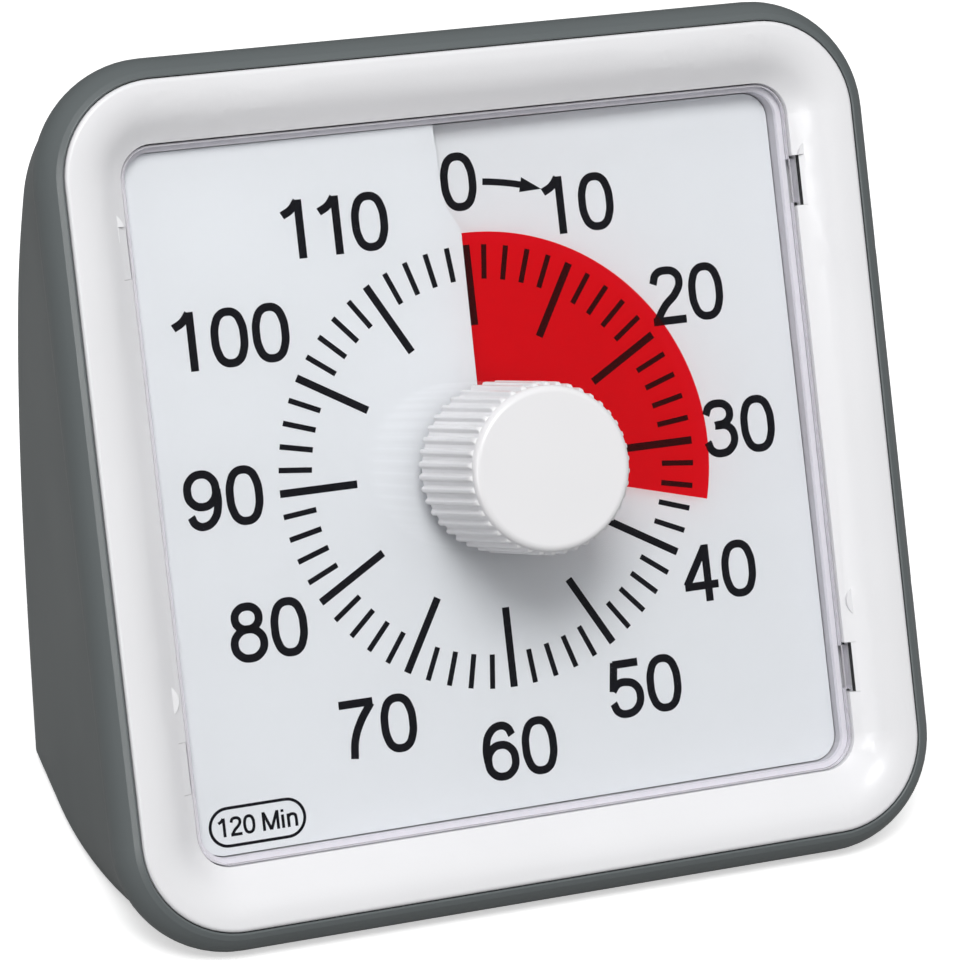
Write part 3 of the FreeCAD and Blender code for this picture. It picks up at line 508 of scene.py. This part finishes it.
def dial_print():
    strips = []
    ticks(strips)
    figures(strips)
    arrow(strips)
    pill(strips)
    bm = bmesh.new()
    for mesh in strips:
        bm.from_mesh(mesh)
        bpy.data.meshes.remove(mesh)
    bmesh.ops.remove_doubles(bm, verts=bm.verts, dist=WELD)
    for vertex in bm.verts:
        vertex.co.z += card_height(vertex.co.x, vertex.co.y)
    bmesh.ops.recalc_face_normals(bm, faces=bm.faces)
    finish_piece(bm, "dial_print", ink(), "housing")


# red film

FILM_SHOWN = 105.0
FILM_IN = 6.0
FILM_OUT = 38.5
FILM_UNDER = 0.08
FILM_RINGS = 4
FILM_STEPS = 180


def red_film():
    """One full turn of film with the card's climb; what lies past the slit is under the card."""
    bm = bmesh.new()
    line = []
    for count in range(FILM_RINGS + 1):
        radius = FILM_IN + (FILM_OUT - FILM_IN) * count / FILM_RINGS
        line.append(bm.verts.new((*on_dial(radius, FILM_SHOWN), CARD_LOW - FILM_UNDER)))
    edges = [bm.edges.new(pair) for pair in zip(line, line[1:])]
    bmesh.ops.spin(bm, geom=line + edges, cent=(0, 0, 0), axis=(0, 0, -1), angle=math.radians(TURN),
                   dvec=(0, 0, CARD_CLIMB / FILM_STEPS), steps=FILM_STEPS,
                   use_merge=False, use_duplicate=False)
    bmesh.ops.recalc_face_normals(bm, faces=bm.faces)
    film = finish_piece(bm, "red_film", red_foil(), "knob_set", smooth=True)
    film.visible_shadow = False
    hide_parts("red_disc")


# knob

KNOB_FOOT = 4.9
KNOB_FACE = 29.2
BODY_R_FOOT = 13.5
BODY_R_TOP = 13.2
FACE_R = 12.0
FACE_ROUND = 1.15
RIDGES = 42
RIDGE_HIGH = 0.58
STEPS_EACH_RIDGE = 16
RIDGE_TOP = 0.24
RIDGE_FOOT = 0.66
RIDGE_END_LOW = 26.9
RIDGE_END_HIGH = 27.95
WELL_R = 11.6
WELL_DEEP = 21.8
FOOT_ROUND = 0.25
FLANK_STEPS = 4
END_STEPS = 7
EDGE_STEPS = 8


def ridge(share):
    """1 along the crest of a ridge and 0 in the groove beside it, with soft flanks."""
    off = abs(share - 0.5) * 2.0
    slope = min(1.0, max(0.0, (off - RIDGE_TOP) / (RIDGE_FOOT - RIDGE_TOP)))
    return 0.5 + 0.5 * math.cos(math.pi * slope)


def knob_ring(height, radius, high):
    count = RIDGES * STEPS_EACH_RIDGE
    ring = []
    for step in range(count):
        reach = radius + high * ridge((step % STEPS_EACH_RIDGE) / STEPS_EACH_RIDGE)
        ring.append(Vector((*on_dial(reach, TURN * step / count), height)))
    return ring


def knob_levels():
    """Height, body radius and ridge height of each ring, from the foot to the face."""
    low = KNOB_FOOT + FOOT_ROUND
    levels = [(KNOB_FOOT, BODY_R_FOOT - FOOT_ROUND, RIDGE_HIGH), (low, BODY_R_FOOT, RIDGE_HIGH)]
    for count in range(1, FLANK_STEPS + 1):
        share = count / FLANK_STEPS
        levels.append((low + (RIDGE_END_LOW - low) * share,
                       BODY_R_FOOT + (BODY_R_TOP - BODY_R_FOOT) * share, RIDGE_HIGH))
    for count in range(1, END_STEPS + 1):
        turn = math.radians(90.0 * count / END_STEPS)
        levels.append((RIDGE_END_LOW + (RIDGE_END_HIGH - RIDGE_END_LOW) * math.sin(turn),
                       BODY_R_TOP, RIDGE_HIGH * math.cos(turn)))
    for count in range(EDGE_STEPS + 1):
        turn = math.radians(90.0 * count / EDGE_STEPS)
        levels.append((KNOB_FACE - FACE_ROUND + FACE_ROUND * math.sin(turn),
                       FACE_R + (BODY_R_TOP - FACE_R) * math.cos(turn), 0.0))
    return levels


def clockwise(points):
    """A ring's points in turn, from the top."""
    return sorted(points, key=lambda point: math.atan2(point.co.x, point.co.y) % (2.0 * math.pi - 1e-6))


def knob_wall(bm):
    """The ridged side and the face, raised ring by ring from the foot."""
    count = RIDGES * STEPS_EACH_RIDGE
    ring = clockwise(bmesh.ops.create_circle(bm, cap_ends=False, segments=count, radius=1.0)["verts"])
    edges = list(bm.edges)
    for place, (height, radius, high) in enumerate(knob_levels()):
        if place:
            grown = bmesh.ops.extrude_edge_only(bm, edges=edges)["geom"]
            edges = only(grown, bmesh.types.BMEdge)
            ring = clockwise(only(grown, bmesh.types.BMVert))
        for vertex, spot in zip(ring, knob_ring(height, radius, high)):
            vertex.co = spot
    bmesh.ops.contextual_create(bm, geom=edges)


def knob_well(bm):
    """The round hollow in the knob's foot."""
    foot = [edge for edge in bm.edges if edge.is_boundary]
    rim = bmesh.ops.extrude_edge_only(bm, edges=foot)["geom"]
    for vertex in only(rim, bmesh.types.BMVert):
        vertex.co = Vector((vertex.co.x, vertex.co.y, 0.0)).normalized() * WELL_R + Vector((0, 0, KNOB_FOOT))
    well = bmesh.ops.extrude_edge_only(bm, edges=only(rim, bmesh.types.BMEdge))["geom"]
    bmesh.ops.translate(bm, verts=only(well, bmesh.types.BMVert), vec=(0, 0, WELL_DEEP))
    bmesh.ops.contextual_create(bm, geom=only(well, bmesh.types.BMEdge))


def fluted_knob():
    bm = bmesh.new()
    knob_wall(bm)
    knob_well(bm)
    bmesh.ops.recalc_face_normals(bm, faces=bm.faces)
    material = moulded("knob_white", (0.812, 0.808, 0.822), 0.32, coat=0.25)
    knob = finish_piece(bm, "fluted_knob", material, "knob_set", smooth=True)
    even_shading(knob, KNOB_WEIGHT)
    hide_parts("knob")


# window rim and notch linings

CORNER_C = 52.3
LOOP_STEPS = 64
RIM_OUT = 57.64
RIM_IN = 56.62
RIM_LOW = 1.7
RIM_HIGH = 2.42
NOTCH_Y = 41.1
NOTCH_LONG = 8.3
NOTCH_GAP_X = 58.78
NOTCH_WALL_X = 59.53
NOTCH_LOW = 2.7
LINING_STEPS = 4
LINING_UNDER = 0.01
# Height on a right notch's filler wall from which painted shade, a near-black finish, stands in for the
# shade in the slot.
PAINTED_SHADE_FROM = 4.1
COVER_X = 57.98
COVER_LOW = 4.35
OVER_BEZEL = 20.0


def rounded_loop(bm, half, height):
    """A square loop with round corners about the same centres as the bezel's."""
    made = bmesh.ops.create_circle(bm, cap_ends=False, segments=LOOP_STEPS,
                                   radius=half - CORNER_C)["verts"]
    half_step = Matrix.Rotation(math.pi / LOOP_STEPS, 3, "Z")
    bmesh.ops.rotate(bm, verts=made, cent=(0, 0, 0), matrix=half_step)
    for vertex in made:
        x, y = (math.copysign(CORNER_C, part) for part in vertex.co.xy)
        vertex.co += Vector((x, y, height))
    return list({edge for vertex in made for edge in vertex.link_edges})


def window_rim():
    """The frosted edge that shows under the window's border."""
    bm = bmesh.new()
    outer = rounded_loop(bm, RIM_OUT, RIM_HIGH)
    inner = rounded_loop(bm, RIM_IN, RIM_HIGH)
    faces = bmesh.ops.bridge_loops(bm, edges=outer + inner)["faces"]
    pull(bm, faces, (0, 0, RIM_LOW - RIM_HIGH))
    bmesh.ops.recalc_face_normals(bm, faces=bm.faces)
    frosted = moulded("frosted_rim", (0.86, 0.845, 0.885), 0.35, strength=0.05)
    finish_piece(bm, "window_rim", frosted, "housing")


def dish_height(x):
    """Height of the bezel's dish beside the notches, found on the bezel itself."""
    start = FACE @ Vector((x, NOTCH_Y - NOTCH_LONG, OVER_BEZEL))
    down = (FACE.to_3x3() @ Vector((0, 0, -1))).normalized()
    spot = nodes["front_bezel"].ray_cast(start, down)[1]
    return (FACE.inverted() @ spot).z - LINING_UNDER


def dish_line(inner_x):
    """Points along the bezel's dish, from the notch's outer wall in to inner_x."""
    wide = NOTCH_WALL_X - inner_x
    across = [NOTCH_WALL_X - wide * step / LINING_STEPS for step in range(LINING_STEPS + 1)]
    return [(x, dish_height(x)) for x in across]


def is_painted_shade_wall(face):
    """The upper wall of a right-hand notch's filler, seen through the slot, which gets painted shade: a
    near-black finish stands in for the shade inside the slot.
    """
    middle = face.calc_center_median()
    return face.normal.x < -0.9 and middle.x > 0.0 and middle.z > PAINTED_SHADE_FROM


def notch_linings(white):
    """Narrows the right snap notches to thin slots, with painted shade (a near-black finish) on the filler
    wall seen through each slot, and covers the left ones.
    """
    slot = [(NOTCH_GAP_X, NOTCH_LOW), (NOTCH_WALL_X, NOTCH_LOW), *dish_line(NOTCH_GAP_X),
            (NOTCH_GAP_X, PAINTED_SHADE_FROM)]
    cover = [(COVER_X, COVER_LOW), (NOTCH_WALL_X, COVER_LOW), *dish_line(COVER_X)]
    bm = bmesh.new()
    for side, outline in ((-1, cover), (1, slot)):
        for middle in (-NOTCH_Y, NOTCH_Y):
            low = middle - NOTCH_LONG / 2.0
            end = bm.faces.new([bm.verts.new((side * x, low, z)) for x, z in outline])
            pull(bm, [end], (0, NOTCH_LONG, 0))
    bmesh.ops.recalc_face_normals(bm, faces=bm.faces)
    for face in bm.faces:
        face.material_index = 1 if is_painted_shade_wall(face) else 0
    piece = finish_piece(bm, "notch_linings", white, "housing")
    # Painted shade: a near-black finish on the slot walls stands in for the shade inside the slots.
    piece.data.materials.append(moulded("slot_painted_shade", (0.012, 0.012, 0.014), 0.7))


# stage

FLOOR_HALF = 6.0
FLOOR_SEEN = 0.93
FLOOR_BOUNCE = 0.32
FLOOR_LIFT = 0.50
ROOM_FACING = (-0.06, -0.60, 0.80)
ROOM_FROM = -0.35
ROOM_DIM = 0.06
ROOM_BRIGHT = 0.82
ROOM_SHEEN = 0.10
LAMPS_AIM = (0.0, 0.0, 0.06)


def floor_tone(tree, bsdf):
    """Pale to the camera and darker as a bounce, so that it lights the case's sides less."""
    path = tree.nodes.new("ShaderNodeLightPath")
    tone = tree.nodes.new("ShaderNodeMix")
    tone.data_type = "RGBA"
    tone.inputs[6].default_value = (FLOOR_BOUNCE, FLOOR_BOUNCE, FLOOR_BOUNCE, 1.0)
    tone.inputs[7].default_value = (FLOOR_SEEN, FLOOR_SEEN, FLOOR_SEEN, 1.0)
    tree.links.new(path.outputs["Is Camera Ray"], tone.inputs[0])
    tree.links.new(tone.outputs[2], bsdf.inputs["Base Color"])
    lift = tree.nodes.new("ShaderNodeMath")
    lift.operation = "MULTIPLY"
    lift.inputs[1].default_value = FLOOR_LIFT
    tree.links.new(path.outputs["Is Camera Ray"], lift.inputs[0])
    tree.links.new(lift.outputs["Value"], bsdf.inputs["Emission Strength"])


def floor():
    bm = bmesh.new()
    bmesh.ops.create_grid(bm, x_segments=1, y_segments=1, size=FLOOR_HALF)
    mesh = bpy.data.meshes.new("floor")
    bm.to_mesh(mesh)
    bm.free()
    plane = bpy.data.objects.new("floor", mesh)
    bpy.context.scene.collection.objects.link(plane)
    material, tree, bsdf = shader("floor")
    floor_tone(tree, bsdf)
    bsdf.inputs["Roughness"].default_value = 0.9
    bsdf.inputs["Specular IOR Level"].default_value = 0.0
    bsdf.inputs["Emission Color"].default_value = (1.0, 1.0, 1.0, 1.0)
    mesh.materials.append(material)


def lamp(name, place, size, power, sheen_only=False):
    data = bpy.data.lights.new(name, "AREA")
    data.shape = "RECTANGLE"
    data.size, data.size_y = size
    data.energy = power
    obj = bpy.data.objects.new(name, data)
    ahead = (Vector(LAMPS_AIM) - Vector(place)).normalized()
    obj.matrix_world = Matrix.Translation(place) @ ahead.to_track_quat("-Z", "Y").to_matrix().to_4x4()
    obj.visible_diffuse = not sheen_only
    bpy.context.scene.collection.objects.link(obj)


def studio():
    """A soft room: brightest from the front and above, dim in sheen, and white to the camera."""
    world = bpy.data.worlds.new("studio")
    bpy.context.scene.world = world
    world.use_nodes = True
    tree = world.node_tree
    path = tree.nodes.new("ShaderNodeLightPath")
    place = tree.nodes.new("ShaderNodeTexCoord")
    facing = tree.nodes.new("ShaderNodeVectorMath")
    facing.operation = "DOT_PRODUCT"
    facing.inputs[1].default_value = ROOM_FACING
    room = tree.nodes.new("ShaderNodeMapRange")
    room.inputs["From Min"].default_value = ROOM_FROM
    room.inputs["To Min"].default_value = ROOM_DIM
    room.inputs["To Max"].default_value = ROOM_BRIGHT
    sheen = tree.nodes.new("ShaderNodeMix")
    sheen.inputs["B"].default_value = ROOM_SHEEN
    seen = tree.nodes.new("ShaderNodeMix")
    seen.inputs["B"].default_value = 1.0
    tree.links.new(place.outputs["Generated"], facing.inputs[0])
    tree.links.new(facing.outputs["Value"], room.inputs["Value"])
    tree.links.new(path.outputs["Is Glossy Ray"], sheen.inputs["Factor"])
    tree.links.new(room.outputs["Result"], sheen.inputs["A"])
    tree.links.new(path.outputs["Is Camera Ray"], seen.inputs["Factor"])
    tree.links.new(sheen.outputs["Result"], seen.inputs["A"])
    back = tree.nodes["Background"]
    back.inputs["Color"].default_value = (1.0, 1.0, 1.0, 1.0)
    tree.links.new(seen.outputs["Result"], back.inputs["Strength"])


make_camera()
even_shading(nodes["front_bezel"], BEZEL_WEIGHT)
bezel_white = moulded("white_shell", (0.795, 0.795, 0.812), 0.38, coat=0.15)
dress_nodes(bezel_white)
dial_print()
red_film()
fluted_knob()
window_rim()
notch_linings(bezel_white)
floor()
studio()
lamp("key", (-0.42, -0.95, 1.35), (0.6, 0.6), 15.5)
lamp("edge_strip", (-0.97, -0.67, 0.34), (0.07, 0.9), 5.0, sheen_only=True)
bpy.context.scene.view_settings.view_transform = "Standard"
